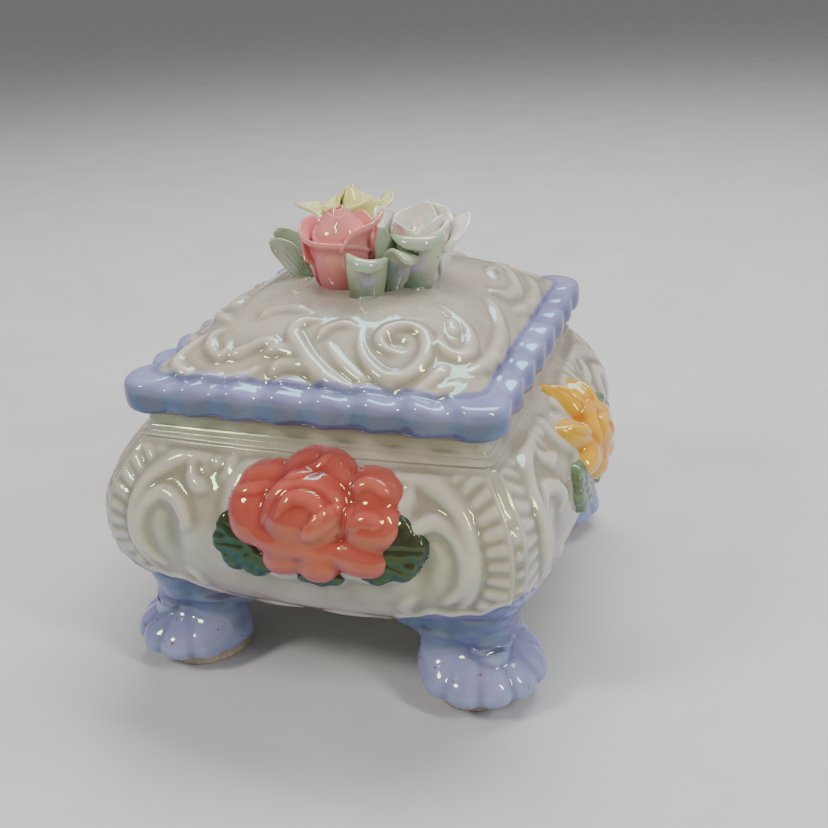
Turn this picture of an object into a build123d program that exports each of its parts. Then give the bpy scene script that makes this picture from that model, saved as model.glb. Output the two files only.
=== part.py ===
from build123d import *
import math
import os

# Porcelain trinket box: a swelling rectangular box on four paw feet with a lift-off lid that carries three
# hand-made roses. Millimetres, +Z up, origin on the table under the middle of the box, front towards -Y.

# ---- plan and heights -------------------------------------------------------------------------------------
DEPTH_EXTRA = 3.0  # on every plan section the half-depth is this much more than the half-width
PAD_THICK = 2.4
FOOT_TOP = 11.0
BODY_BOTTOM = 15.5
NECK_BOTTOM = 52.3
NECK_TOP = 55.8
SEAT_GAP = 0.15  # the lid's rim rests on the neck; this hairline keeps the two solids apart
LID_BOTTOM = NECK_TOP + SEAT_GAP
RIM_TOP = 62.6
DOME_TOP = RIM_TOP + 11.2

# ---- box body ---------------------------------------------------------------------------------------------
WALL = 3.2
FLOOR_THICK = 3.5
# Height, half-width at the corner edges, and how far each face swells past the line between its corners.
BULGE_HEIGHT = 33.5
BODY_SECTIONS = [
    (BODY_BOTTOM, 32.5, 0.8),
    (19.5, 36.8, 3.0),
    (25.0, 40.2, 4.8),
    (BULGE_HEIGHT, 42.0, 5.4),
    (42.0, 40.8, 4.8),
    (48.6, 37.2, 2.8),
    (NECK_BOTTOM, 34.9, 0.6),
]
CORNER_ROUND = 3.0
NECK_HALF = 34.5
NECK_ROUND = 5.0
CAVITY_FLOOR_HALF = 32.0

# ---- legs and pads ----------------------------------------------------------------------------------------
FOOT_X = 30.0
FOOT_Y = FOOT_X + DEPTH_EXTRA
FOOT_RADIUS = 10.0
TOE_COUNT = 6
TOE_RADIUS = 3.4
TOE_REACH = 9.3  # from the foot's centre to a toe's centre
TOE_LIFT = 0.4  # the toes turn up this far off the sole
TOE_FAN = 150.0  # degrees over which the toes spread, about the outward diagonal
ANKLE_RADIUS = 7.6
ANKLE_INSET = 2.4  # the ankle stands this far behind the foot's centre, along the diagonal
BRACKET_RADIUS = 11.5
BRACKET_TOP = 24.0
PAD_RADIUS = 9.5

# ---- lid --------------------------------------------------------------------------------------------------
LID_HALF = 38.0
LOBES_PER_SIDE = 6
SCALLOP_DEPTH = 0.9
CORNER_LOBE = 10.2  # each corner is one larger lobe that reaches this far along both sides
CORNER_CUT = 1.6  # how far the corner lobe falls short of the square corner, along each side
RIM_TUCK = 1.6  # the rim's lower edge is this much smaller all round
DOME_HALF = 33.6
# Share of the dome's height, and of its half-width, up the outside of the dome.
DOME_PROFILE = [(0.0, 1.0), (0.25, 0.92), (0.50, 0.83), (0.72, 0.72), (0.88, 0.58), (0.97, 0.42), (1.0, 0.24)]
DOME_ROUND = 0.35  # corner radius as a share of the section's half-width
LID_WALL = 3.0
LIP_CLEARANCE = 0.8
LIP_DEPTH = 3.5
LIP_WALL = 2.6

# ---- applied flowers on the lid ---------------------------------------------------------------------------
PETAL_THICK = 0.9
LEAF_THICK = 1.0

STANDING = (Align.CENTER, Align.CENTER, Align.MIN)


def plan_section(half, swell, radius, z):
    """A rectangle whose sides swell outward as arcs, with rounded corners, at height z."""
    x, y = half, half + DEPTH_EXTRA
    outline = (
        ThreePointArc((-x, -y), (0, -y - swell), (x, -y))
        + ThreePointArc((x, -y), (x + swell, 0), (x, y))
        + ThreePointArc((x, y), (0, y + swell), (-x, y))
        + ThreePointArc((-x, y), (-x - swell, 0), (-x, -y))
    )
    face = make_face(outline)
    return Pos(0, 0, z) * fillet(face.vertices(), radius)


def block(half, radius, low, high):
    """A straight rounded block of the plan's proportions between two heights."""
    face = RectangleRounded(2 * half, 2 * (half + DEPTH_EXTRA), radius)
    return extrude(Pos(0, 0, low) * face, high - low)


# ---- box body ---------------------------------------------------------------------------------------------
def body_outside():
    """The outside of the box as one solid: the swelling body and the straight neck."""
    swelling = loft([plan_section(half, swell, CORNER_ROUND, z) for z, half, swell in BODY_SECTIONS])
    return swelling + block(NECK_HALF, NECK_ROUND, NECK_BOTTOM - 1, NECK_TOP)


def body_cavity():
    """The space inside the box, open at the neck."""
    floor = plan_section(CAVITY_FLOOR_HALF, 0.6, CORNER_ROUND, BODY_BOTTOM + FLOOR_THICK)
    walls = [plan_section(half - WALL, swell, CORNER_ROUND, z) for z, half, swell in BODY_SECTIONS[2:]]
    mouth = block(NECK_HALF - WALL, NECK_ROUND - WALL / 2, NECK_BOTTOM - 1, NECK_TOP + 1)
    return loft([floor] + walls) + mouth


# ---- legs -------------------------------------------------------------------------------------------------
def corner_leg(body):
    """A paw foot with its ankle and the bracket that runs up under the body's back right corner."""
    outward = 45.0
    foot = Pos(0, 0, PAD_THICK) * Cone(FOOT_RADIUS, ANKLE_RADIUS, FOOT_TOP - PAD_THICK, align=STANDING)
    for toe in range(TOE_COUNT):
        angle = outward + TOE_FAN * (toe / (TOE_COUNT - 1) - 0.5)
        reach = Vector(TOE_REACH, 0).rotate(Axis.Z, angle)
        foot += Pos(reach.X, reach.Y, PAD_THICK + TOE_LIFT + TOE_RADIUS) * Sphere(TOE_RADIUS)
    back = Vector(-ANKLE_INSET, 0).rotate(Axis.Z, outward)
    ankle = Cylinder(ANKLE_RADIUS, BODY_BOTTOM - PAD_THICK, align=STANDING)
    flare = Cone(ANKLE_RADIUS, BRACKET_RADIUS, BRACKET_TOP - FOOT_TOP, align=STANDING)
    bracket = Pos(0, 0, FOOT_TOP - PAD_THICK) * flare
    whole = foot + Pos(back.X, back.Y, PAD_THICK) * (ankle + bracket)
    return Pos(FOOT_X, FOOT_Y, 0) * whole - body


def leg(sign_x, sign_y, moulded):
    """The same moulded leg, mirrored to its own corner."""
    if sign_x < 0:
        moulded = mirror(moulded, about=Plane.YZ)
    if sign_y < 0:
        moulded = mirror(moulded, about=Plane.XZ)
    return moulded


def pad(sign_x, sign_y):
    """A stick-on felt disc under one foot."""
    disc = Cylinder(PAD_RADIUS, PAD_THICK, align=STANDING)
    return Pos(sign_x * FOOT_X, sign_y * FOOT_Y, 0) * disc


# ---- applied relief roses on the faces --------------------------------------------------------------------
ROSE_HEIGHT = 41.0
SPRIG_SHIFT = 4.0  # on the front and back faces the rose sits this far to the right of the middle
ROSE_PETALS = 7
ROSE_STEP = 9.6  # from the rose's centre to a petal's centre, across the face
ROSE_STEP_UP = 6.4
ROSE_CORE_RADIUS = 9.5
ROSE_PETAL_RADIUS = 7.4
ROSE_STAND = 2.4  # how far the rose stands out from the face
SPRIG_LEAVES = [(-16.6, -6.6), (18.0, -4.6), (3.0, -13.6)]  # leaf centres from the rose's centre: across, up
SPRIG_LEAF_RADIUS = 8.5
SPRIG_LEAF_STAND = 2.4


def sprig_rose(face_out, turn, shift, body):
    """Overlapping rounded petals round a core, as one relief standing on the face turned from the front."""
    out = face_out + ROSE_STAND
    rose = Pos(shift, -out + ROSE_CORE_RADIUS, ROSE_HEIGHT) * Sphere(ROSE_CORE_RADIUS)
    for i in range(ROSE_PETALS):
        angle = 2 * math.pi * i / ROSE_PETALS
        across, up = shift + ROSE_STEP * math.cos(angle), ROSE_STEP_UP * math.sin(angle)
        rose += Pos(across, -out + 1.2 + ROSE_PETAL_RADIUS, ROSE_HEIGHT + up) * Sphere(ROSE_PETAL_RADIUS)
    return Rot(0, 0, turn) * rose - body


def sprig_leaves(face_out, turn, shift, body, rose):
    """The leaves round a relief rose, each its own solid against the face."""
    leaves = []
    for aside, up in SPRIG_LEAVES:
        across, height = shift + aside, ROSE_HEIGHT + up
        drop = 0.0045 * across**2 + 0.03 * (height - BULGE_HEIGHT) ** 2  # how far the face falls away
        out = face_out - drop + SPRIG_LEAF_STAND
        whole = Pos(across, -out + SPRIG_LEAF_RADIUS, height) * Sphere(SPRIG_LEAF_RADIUS)
        leaves += (Rot(0, 0, turn) * whole - body - rose).solids()
    return Compound(children=leaves)


# ---- lid --------------------------------------------------------------------------------------------------
def scalloped_outline(half):
    """The rim's outline: shallow arcs along each side between larger corner lobes."""
    x, y = half, half + DEPTH_EXTRA
    edges = []
    corners = [(-x, -y), (x, -y), (x, y), (-x, y)]
    for k, (cx, cy) in enumerate(corners):
        nx, ny = corners[(k + 1) % 4]
        along = Vector(nx - cx, ny - cy).normalized()
        outward = Vector(along.Y, -along.X)
        length = math.hypot(nx - cx, ny - cy)
        corner = Vector(nx, ny)
        start, end = Vector(cx, cy) + along * CORNER_LOBE, corner - along * CORNER_LOBE
        step = (length - 2 * CORNER_LOBE) / LOBES_PER_SIDE
        for i in range(LOBES_PER_SIDE):
            a = start + along * (step * i)
            b = start + along * (step * (i + 1))
            edges.append(ThreePointArc(a, (a + b) * 0.5 + outward * SCALLOP_DEPTH, b))
        middle = corner - (along + outward) * CORNER_CUT
        edges.append(ThreePointArc(end, middle, corner - outward * CORNER_LOBE))
    return make_face(Wire(edges))


def dome(half, low, high):
    """A pillow-shaped dome with soft corners."""
    sections = []
    for up, out in DOME_PROFILE:
        size = half * out
        sections.append(plan_section(size, 0.05 * size, DOME_ROUND * size, low + up * (high - low)))
    return loft(sections)


def lid_outside():
    """The lid's outside as one solid: scalloped rim with a tucked-under lower edge, and dome."""
    tuck = LID_BOTTOM + RIM_TUCK
    foot = extrude(Pos(0, 0, LID_BOTTOM) * scalloped_outline(LID_HALF - SCALLOP_DEPTH - RIM_TUCK), RIM_TUCK)
    rim = extrude(Pos(0, 0, tuck) * scalloped_outline(LID_HALF - SCALLOP_DEPTH), RIM_TOP - tuck)
    return foot + rim + dome(DOME_HALF, RIM_TOP, DOME_TOP)


def lid_shell(outside):
    """The hollow lid with the lip that drops into the neck."""
    lip_half = NECK_HALF - WALL - LIP_CLEARANCE
    lip = block(lip_half, NECK_ROUND - WALL / 2, LID_BOTTOM - LIP_DEPTH, LID_BOTTOM)
    hollow_half = lip_half - LIP_WALL
    shaft = block(hollow_half, 2.5, LID_BOTTOM - LIP_DEPTH - 1, RIM_TOP)
    inside = dome(hollow_half, RIM_TOP - 0.01, DOME_TOP - LID_WALL)
    return outside + lip - shaft - inside


# ---- free-standing roses and leaves on the lid -------------------------------------------------------------
def cup_petal(low_radius, high_radius, height, sweep, angle):
    """One petal: a thin curved wall turned part of the way round the rose's axis, flaring at its edge."""
    waist = low_radius + 0.6 * (high_radius - low_radius)
    inner = ThreePointArc((low_radius, 0), (waist, 0.42 * height), (high_radius, height))
    outer = ThreePointArc(
        (high_radius + PETAL_THICK, height),
        (waist + PETAL_THICK, 0.42 * height),
        (low_radius + PETAL_THICK, 0),
    )
    wall = inner + Line(inner @ 1, outer @ 0) + outer + Line(outer @ 1, inner @ 0)
    face = Plane.XZ * make_face(wall)
    return Rot(0, 0, angle) * revolve(face, Axis.Z, revolution_arc=sweep)


def rose_heart(radius, height):
    """The rolled bud in the middle of a rose."""
    side = Spline((radius * 0.55, 0), (radius, 0.45 * height), (radius * 0.45, height))
    outline = Line((0, 0), side @ 0) + side + Line(side @ 1, (0, height)) + Line((0, height), (0, 0))
    return revolve(Plane.XZ * make_face(outline), Axis.Z)


# Where each rose stands, its base height, the height of its petals, its size and its lean in degrees.
ROSE_BASE = DOME_TOP - 1.2
ROSES = {
    "pink_rose": {"at": (-2.2, -7.4), "height": 14.2, "size": 1.0, "turn": 20},
    "yellow_rose": {"at": (-6.4, 8.6), "height": 15.6, "size": 1.0, "turn": 75},
    "white_rose": {"at": (10.3, 0.8), "height": 13.4, "size": 1.0, "turn": 140},
}
OUTER_PETALS, OUTER_SWEEP = 4, 82.0
INNER_PETALS, INNER_SWEEP = 3, 108.0


def lid_rose(spec, lid):
    """One rose as its heart, its inner petals and its outer petals."""
    k, tall, turn = spec["size"], spec["height"], spec["turn"]
    place = Pos(spec["at"][0], spec["at"][1], ROSE_BASE)
    heart = place * rose_heart(2.4 * k, 0.92 * tall) - lid
    inner = []
    for i in range(INNER_PETALS):
        petal = cup_petal(2.7 * k, 3.6 * k, 0.96 * tall, INNER_SWEEP, turn + 360 * i / INNER_PETALS)
        inner += (place * petal - lid).solids()
    outer = []
    for i in range(OUTER_PETALS):
        petal = cup_petal(3.9 * k, 6.2 * k, 0.8 * tall, OUTER_SWEEP, turn + 45 + 360 * i / OUTER_PETALS)
        outer += (place * petal - lid).solids()
    return heart, Compound(children=inner), Compound(children=outer)


# Each leaf: where its stalk end stands, the way it faces, how far it leans back from upright, length, width.
LEAVES = {
    "leaf_left_upper": ((-14.4, 1.6), 160, 45, 12.0, 7.0),
    "leaf_left_lower": ((-13.4, -4.4), 190, 30, 11.0, 7.0),
    "leaf_front": ((4.0, -14.6), 270, 12, 9.0, 7.0),
    "leaf_front_right": ((7.8, -10.6), 300, 20, 8.0, 4.4),
    "leaf_right": ((13.7, -8.8), 285, 18, 10.0, 7.0),
    "leaf_back_right": ((7.6, 12.6), 60, 35, 11.0, 7.0),
    "leaf_back_left": ((-13.2, 15.6), 120, 35, 10.0, 7.0),
}
LEAF_CURL = 9.0  # radius that the leaf's blade is curved to, across its width


def leaf(stand, heading, lean, length, width, lid):
    """A thin pointed blade, curved across its width, standing on the lid."""
    half = width / 2
    blade = make_face(
        ThreePointArc((0, 0), (half, 0.45 * length), (0, length))
        + ThreePointArc((0, length), (-half, 0.45 * length), (0, 0))
    )
    tall = extrude(blade, LEAF_CURL, both=True)
    curl = Cylinder(LEAF_CURL, 3 * length) - Cylinder(LEAF_CURL - LEAF_THICK, 3 * length)
    trough = Pos(0, 0, LEAF_CURL) * Rot(90, 0, 0) * curl
    lower = Pos(0, length / 2, 0) * Box(4 * half, 2 * length, 2 * (LEAF_CURL - 1))
    thin = tall & trough & lower
    upright = Rot(0, 0, heading - 90) * Rot(90 - lean, 0, 0) * thin
    return Pos(stand[0], stand[1], ROSE_BASE + 0.4) * upright - lid


def build():
    """Every node by name."""
    nodes = {}
    outside, cavity = body_outside(), body_cavity()
    nodes["body_shell"] = outside - cavity
    moulded_leg = corner_leg(outside)
    for front, sign_y in (("front", -1), ("back", 1)):
        for side, sign_x in (("left", -1), ("right", 1)):
            nodes[f"leg_{front}_{side}"] = leg(sign_x, sign_y, moulded_leg)
            nodes[f"felt_pad_{front}_{side}"] = pad(sign_x, sign_y)

    middle = max(half + swell for _, half, swell in BODY_SECTIONS)
    wide, narrow = (DEPTH_EXTRA, SPRIG_SHIFT), (0, 0)
    faces = {"front": (0, *wide), "right": (90, *narrow), "back": (180, *wide), "left": (270, *narrow)}
    for name, (turn, extra, shift) in faces.items():
        rose = sprig_rose(middle + extra, turn, shift, outside)
        nodes[f"{name}_relief_rose"] = rose
        nodes[f"{name}_relief_leaves"] = sprig_leaves(middle + extra, turn, shift, outside, rose)

    lid = lid_outside()
    nodes["lid_shell"] = lid_shell(lid)
    for name, spec in ROSES.items():
        heart, inner, outer = lid_rose(spec, lid)
        nodes[f"{name}_heart"] = heart
        nodes[f"{name}_inner_petals"] = inner
        nodes[f"{name}_outer_petals"] = outer
    for name, spec in LEAVES.items():
        nodes[name] = leaf(*spec, lid)
    return nodes


os.makedirs("parts", exist_ok=True)
for node, shape in build().items():
    export_step(shape, f"parts/{node}.step")
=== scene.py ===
import math

import bpy
import numpy as np
from mathutils import Matrix, Vector


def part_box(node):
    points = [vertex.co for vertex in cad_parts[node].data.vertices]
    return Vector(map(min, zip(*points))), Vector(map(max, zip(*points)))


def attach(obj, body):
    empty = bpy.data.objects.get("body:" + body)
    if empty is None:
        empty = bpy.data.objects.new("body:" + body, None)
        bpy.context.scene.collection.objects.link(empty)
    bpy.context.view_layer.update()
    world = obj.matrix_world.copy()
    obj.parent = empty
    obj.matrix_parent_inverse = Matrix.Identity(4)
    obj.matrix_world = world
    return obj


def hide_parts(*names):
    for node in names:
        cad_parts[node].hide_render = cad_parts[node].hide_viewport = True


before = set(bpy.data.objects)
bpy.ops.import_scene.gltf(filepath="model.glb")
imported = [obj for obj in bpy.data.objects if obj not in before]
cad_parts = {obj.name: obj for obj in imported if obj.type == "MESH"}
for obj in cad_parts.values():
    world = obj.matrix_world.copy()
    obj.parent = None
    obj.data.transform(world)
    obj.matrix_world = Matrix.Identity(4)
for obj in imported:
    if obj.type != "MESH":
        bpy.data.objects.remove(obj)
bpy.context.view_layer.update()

MM = 0.001


def box_mm(node):
    """Lowest and highest corner of a CAD node, in millimetres."""
    low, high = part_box(node)
    return np.array(low) / MM, np.array(high) / MM


BODY_LOW, BODY_HIGH = box_mm("body_shell")
LID_HIGH = box_mm("lid_shell")[1]
NECK_TOP = BODY_HIGH[2]
LID_HALF = LID_HIGH[0]
DEPTH_EXTRA = BODY_HIGH[1] - BODY_HIGH[0]  # every plan section is this much deeper, each way, than it is wide


# ---- curves and ridges ----
def ease(t):
    t = np.clip(t, 0, 1)
    return t * t * (3 - 2 * t)


def smooth_path(points, count=80):
    """A smooth curve through a few points."""
    p = np.asarray(points, float)
    p = np.vstack([2 * p[0] - p[1], p, 2 * p[-1] - p[-2]])
    t = np.linspace(0, len(p) - 3 - 1e-9, count)
    i = t.astype(int)
    f = (t - i)[:, None]
    a, b, c, d = p[i], p[i + 1], p[i + 2], p[i + 3]
    return 0.5 * (2 * b + (c - a) * f + (2 * a - 5 * b + 4 * c - d) * f**2 + (3 * b - a - 3 * c + d) * f**3)


def profile(points):
    """Smooth interpolation of (height, value) pairs."""
    curve = smooth_path(points, 600)
    return lambda z: np.interp(z, curve[:, 0], curve[:, 1])


def arc(cx, cy, radius, start, end, count=70):
    """Points on an arc between two angles in degrees."""
    a = np.radians(np.linspace(start, end, count))
    return np.stack([cx + radius * np.cos(a), cy + radius * np.sin(a)], -1)


def stroke(x, y, path, width, height, blunt=0.75, taper=0.2):
    """Height of a rounded ridge that follows a path and dies away at its ends."""
    near = np.full(x.shape, 1e9)
    along = np.zeros(x.shape)
    for k, (px, py) in enumerate(path):
        d = (x - px) ** 2 + (y - py) ** 2
        closer = d < near
        near[closer] = d[closer]
        along[closer] = k
    t = along / (len(path) - 1)
    thin = np.sqrt(np.clip(np.minimum(t, 1 - t) / taper, 0.02, 1))
    return height * thin * np.clip(1 - near / (width * thin) ** 2, 0, 1) ** blunt


def knob(x, y, cx, cy, rx, ry, height):
    """Height of a rounded bump."""
    return height * np.clip(1 - ((x - cx) / rx) ** 2 - ((y - cy) / ry) ** 2, 0, 1)


def stack(heights):
    """Ridges that cross melt into each other under the glaze."""
    return sum(np.clip(h, 0, None) ** 4 for h in heights) ** 0.25


def softened(height, passes):
    """A grid of heights with its creases filled a little, as a thick glaze does."""
    for _ in range(passes):
        north, south = np.roll(height, 1, 0), np.roll(height, -1, 0)
        height = (north + south + np.roll(height, 1, 1) + np.roll(height, -1, 1)) / 4
    return height


def pooled_and_shaded(height, gain=2.2, passes=8):
    """How much glaze gathers, and with it how much shade is painted: near 1 in creases, near 0 on crests."""
    return np.clip(0.45 + gain * (softened(height, passes) - height), 0, 1)


# ---- meshes ----
def grid_normals(points, closed=True):
    """Unit normals of a grid of points: columns run round, rows run up."""
    across = np.roll(points, -1, 1) - np.roll(points, 1, 1) if closed else np.gradient(points, axis=1)
    n = np.cross(across, np.gradient(points, axis=0))
    return n / np.maximum(np.linalg.norm(n, axis=-1, keepdims=True), 1e-9)


def add_mesh(name, points, faces, slot, body, nodes, fields=None):
    """A smooth-shaded piece in place of CAD nodes, riding on their body."""
    mesh = bpy.data.meshes.new(name)
    mesh.from_pydata((np.asarray(points) * MM).tolist(), [], faces)
    mesh.polygons.foreach_set("use_smooth", np.ones(len(faces), bool))
    for key, values in (fields or {}).items():
        field = mesh.attributes.new(key, "FLOAT", "POINT")
        field.data.foreach_set("value", np.ravel(values).astype(np.float32))
    mesh.materials.append(MATERIALS[slot])
    piece = bpy.data.objects.new(name, mesh)
    bpy.context.scene.collection.objects.link(piece)
    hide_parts(*nodes)
    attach(piece, body)
    return piece


def tube_faces(rows, cols):
    """Faces of closed loops joined up, with a fan at each end; the two fan centres are the last vertices."""
    r, c = np.meshgrid(np.arange(rows - 1), np.arange(cols), indexing="ij")
    n = (c + 1) % cols
    quads = np.stack([r * cols + c, r * cols + n, (r + 1) * cols + n, (r + 1) * cols + c], -1).reshape(-1, 4)
    faces = quads.tolist()
    first, last = rows * cols, rows * cols + 1
    top = (rows - 1) * cols
    for k in range(cols):
        nxt = (k + 1) % cols
        faces.append([nxt, k, first])
        faces.append([top + k, top + nxt, last])
    return faces


def tube(name, points, slot, body, nodes, fields=None):
    """A closed piece from a grid of loops."""
    ends = np.stack([points[0].mean(0), points[-1].mean(0)])
    full = {k: np.append(v.ravel(), [v[0].mean(), v[-1].mean()]) for k, v in (fields or {}).items()}
    corners = np.vstack([points.reshape(-1, 3), ends])
    return add_mesh(name, corners, tube_faces(*points.shape[:2]), slot, body, nodes, full)


def slab_parts(top, bottom, keep):
    """Vertices and faces of a closed slab between two grids, where keep says which cells exist."""
    rows, cols = top.shape[:2]
    index = -np.ones((rows, cols), int)
    used = np.zeros((rows, cols), bool)
    for dr in (0, 1):
        for dc in (0, 1):
            used[dr : rows - 1 + dr, dc : cols - 1 + dc] |= keep
    index[used] = np.arange(used.sum())
    count = int(used.sum())
    faces = []
    for r, c in zip(*np.nonzero(keep)):
        a, b, d, e = index[r, c], index[r, c + 1], index[r + 1, c + 1], index[r + 1, c]
        faces.append([a, b, d, e])
        faces.append([e + count, d + count, b + count, a + count])
        for p, q, rr, cc in ((a, b, r - 1, c), (b, d, r, c + 1), (d, e, r + 1, c), (e, a, r, c - 1)):
            if not (0 <= rr < rows - 1 and 0 <= cc < cols - 1 and keep[rr, cc]):
                faces.append([q, p, p + count, q + count])
    return np.vstack([top[used], bottom[used]]), faces, used


# ---- materials ----
def node(tree, kind, **values):
    made = tree.nodes.new(kind)
    for key, value in values.items():
        if key in made.inputs:
            made.inputs[key].default_value = value
        else:
            setattr(made, key, value)
    return made


def mix_colour(tree, factor, first, second, blend="MIX"):
    """A colour mix; factor is a number or socket, first and second are colours or sockets."""
    mix = tree.nodes.new("ShaderNodeMix")
    mix.data_type, mix.blend_type = "RGBA", blend
    for socket, value in ((mix.inputs[0], factor), (mix.inputs[6], first), (mix.inputs[7], second)):
        if isinstance(value, tuple):
            socket.default_value = (*value, 1)
        elif isinstance(value, float):
            socket.default_value = value
        else:
            tree.links.new(value, socket)
    return mix.outputs[2]


def plain_noise(tree, where, scale, detail):
    tex = node(tree, "ShaderNodeTexNoise", Scale=scale, Detail=detail)
    tree.links.new(where, tex.inputs["Vector"])
    return tex.outputs["Fac"]


def noise(tree, where, scale, detail=4.0, low=0.35, high=0.65, ends=(0.0, 1.0)):
    """Noise remapped so that low and high become the two ends."""
    ramp = tree.nodes.new("ShaderNodeMapRange")
    tree.links.new(plain_noise(tree, where, scale, detail), ramp.inputs[0])
    for socket, value in zip(ramp.inputs[1:5], (low, high, *ends)):
        socket.default_value = value
    return ramp.outputs[0]


def add_bump(tree, shader, height, strength, distance):
    bump = node(tree, "ShaderNodeBump", Strength=strength, Distance=distance)
    tree.links.new(height, bump.inputs["Height"])
    tree.links.new(bump.outputs["Normal"], shader.inputs["Normal"])


def new_material(name):
    """A node material, its tree, its shader, and the coordinates that its textures use."""
    material = bpy.data.materials.new(name)
    material.use_nodes = True
    tree = material.node_tree
    return material, tree, tree.nodes["Principled BSDF"], node(tree, "ShaderNodeTexCoord").outputs["Object"]


def attribute(tree, name):
    return node(tree, "ShaderNodeAttribute", attribute_name=name).outputs["Fac"]


def math_node(tree, kind, a, b):
    """A clamped sum, product and so on of two sockets or numbers."""
    made = node(tree, "ShaderNodeMath", operation=kind, use_clamp=True)
    for socket, value in zip(made.inputs, (a, b)):
        if isinstance(value, (int, float)):
            socket.default_value = value
        else:
            tree.links.new(value, socket)
    return made.outputs[0]


# What every glaze has in common: a clear coat with a thin pearl film over slightly translucent porcelain.
GLAZE_FINISH = {
    "IOR": 1.62,
    "Coat Weight": 0.5,
    "Coat Roughness": 0.03,
    "Coat IOR": 1.5,
    "Thin Film IOR": 1.38,
    "Subsurface Weight": 0.12,
    "Subsurface Scale": 0.002,
}
ROUGHNESS = (0.063, 0.135)


def glaze(name, crest, crease, accent=None, speck=None, painted_sheen_share=0.5, film=420.0):
    """Glossy glaze that goes from the crest to the crease colour where glaze pools and shade is painted,
    mottled, with pink and green tints painted for the lustre's iridescent sheen, and a thin film. accent is a
    second glaze, let in by the mesh's accent field and feathered by noise. speck adds fine kiln specks of
    that colour, lustre is how strongly the painted sheen tints show and film is the film's thickness in
    nanometres."""
    material, tree, shader, where = new_material(name)
    mottle = math_node(tree, "MULTIPLY", noise(tree, where, 130), 0.3)
    # painted shade: where the pool field is high, in creases and hollows, the darker crease colour comes in,
    # partly as deeper glaze
    pool_and_shade = math_node(tree, "ADD", attribute(tree, "pool_and_shade"), mottle)
    colour = mix_colour(tree, math_node(tree, "SUBTRACT", pool_and_shade, 0.15), crest, crease)
    if accent:
        feather = math_node(tree, "MULTIPLY", noise(tree, where, 320, 5.0), 0.5)
        edge = math_node(tree, "ADD", attribute(tree, "accent"), math_node(tree, "SUBTRACT", feather, 0.25))
        sharp = math_node(tree, "MULTIPLY", math_node(tree, "SUBTRACT", edge, 0.3), 2.5)
        colour = mix_colour(tree, sharp, colour, mix_colour(tree, pool_and_shade, *accent))
    # painted sheen: pink and green tints painted into the colour for the lustre's iridescent reflections
    painted_iridescence = mix_colour(tree, noise(tree, where, 42, 2.0, 0.4, 0.72), (1.0, 0.93, 0.94), (0.95, 1.0, 0.97))
    colour = mix_colour(tree, painted_sheen_share, colour, painted_iridescence, "MULTIPLY")
    if speck:
        colour = mix_colour(tree, noise(tree, where, 900, 1.0, 0.735, 0.76), colour, speck)
    tree.links.new(colour, shader.inputs["Base Color"])
    tree.links.new(noise(tree, where, 260, 3.0, 0.2, 0.8, ROUGHNESS), shader.inputs["Roughness"])
    add_bump(tree, shader, plain_noise(tree, where, 190.0, 2.0), 0.06, 0.0004)
    for key, value in GLAZE_FINISH.items():
        shader.inputs[key].default_value = value
    shader.inputs["Thin Film Thickness"].default_value = film
    return material


def felt(name):
    """Matt beige felt with a fine fibre mottle."""
    material, tree, shader, where = new_material(name)
    colour = mix_colour(tree, noise(tree, where, 1500, 6.0), (0.60, 0.47, 0.31), (0.78, 0.66, 0.48))
    tree.links.new(colour, shader.inputs["Base Color"])
    add_bump(tree, shader, noise(tree, where, 2600, 6.0), 0.7, 0.0005)
    shader.inputs["Roughness"].default_value = 0.95
    shader.inputs["Sheen Weight"].default_value = 0.35
    return material


LILAC = ((0.39, 0.41, 0.68), (0.12, 0.12, 0.24))
PEACH = ((0.84, 0.30, 0.15), (0.74, 0.24, 0.12))
STRAW = ((0.80, 0.84, 0.42), (0.80, 0.76, 0.30))
BLUSH = ((0.88, 0.52, 0.46), (0.80, 0.36, 0.33))
# painted iridescent sheen: colours of the patch painted in the middle of the lid leaves
PAINTED_SHEEN = ((0.50, 0.46, 0.34), (0.30, 0.33, 0.58))
BROWN = (0.30, 0.13, 0.05)
SOOT = (0.03, 0.04, 0.03)
# Each material slot's glaze: its crest colour and its crease colour (deeper glaze and painted shade), then
# what else it has.
GLAZES = {
    "cream_glaze": ((0.67, 0.62, 0.505), (0.30, 0.26, 0.185), dict(accent=LILAC)),
    "lilac_glaze": (*LILAC, dict(speck=BROWN)),
    "coral_glaze": ((0.60, 0.135, 0.10), (0.34, 0.03, 0.025), dict(painted_sheen_share=0.3)),
    "amber_glaze": ((0.84, 0.50, 0.05), (0.66, 0.20, 0.015), dict(painted_sheen_share=0.2)),
    "dark_green_glaze": ((0.050, 0.060, 0.034), (0.012, 0.017, 0.009), dict(painted_sheen_share=0.2)),
    "sage_glaze": ((0.18, 0.25, 0.14), (0.05, 0.09, 0.04), dict(painted_sheen_share=0.3)),
    "pink_glaze": ((0.84, 0.30, 0.285), (0.64, 0.15, 0.15), dict(accent=BLUSH)),
    "pale_yellow_glaze": ((0.86, 0.89, 0.45), (0.84, 0.68, 0.17), dict(accent=STRAW)),
    "white_glaze": ((0.88, 0.86, 0.79), (0.62, 0.57, 0.44), dict(accent=PEACH)),
    "pale_green_glaze": (
        (0.42, 0.53, 0.37), (0.10, 0.17, 0.09), dict(accent=PAINTED_SHEEN, speck=SOOT, painted_sheen_share=0.8, film=520.0),
    ),
}
MATERIALS = {slot: glaze(slot, crest, crease, **more) for slot, (crest, crease, more) in GLAZES.items()}
MATERIALS["beige_felt"] = felt("beige_felt")

# ---- body ----
BODY_BOTTOM = BODY_LOW[2] + 0.4  # foot of the wall; the underside is a little hollow
BULGE_TOP = NECK_TOP - 5.8
WALL = 3.2
FLOOR_TOP = BODY_BOTTOM + 3.1
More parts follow.
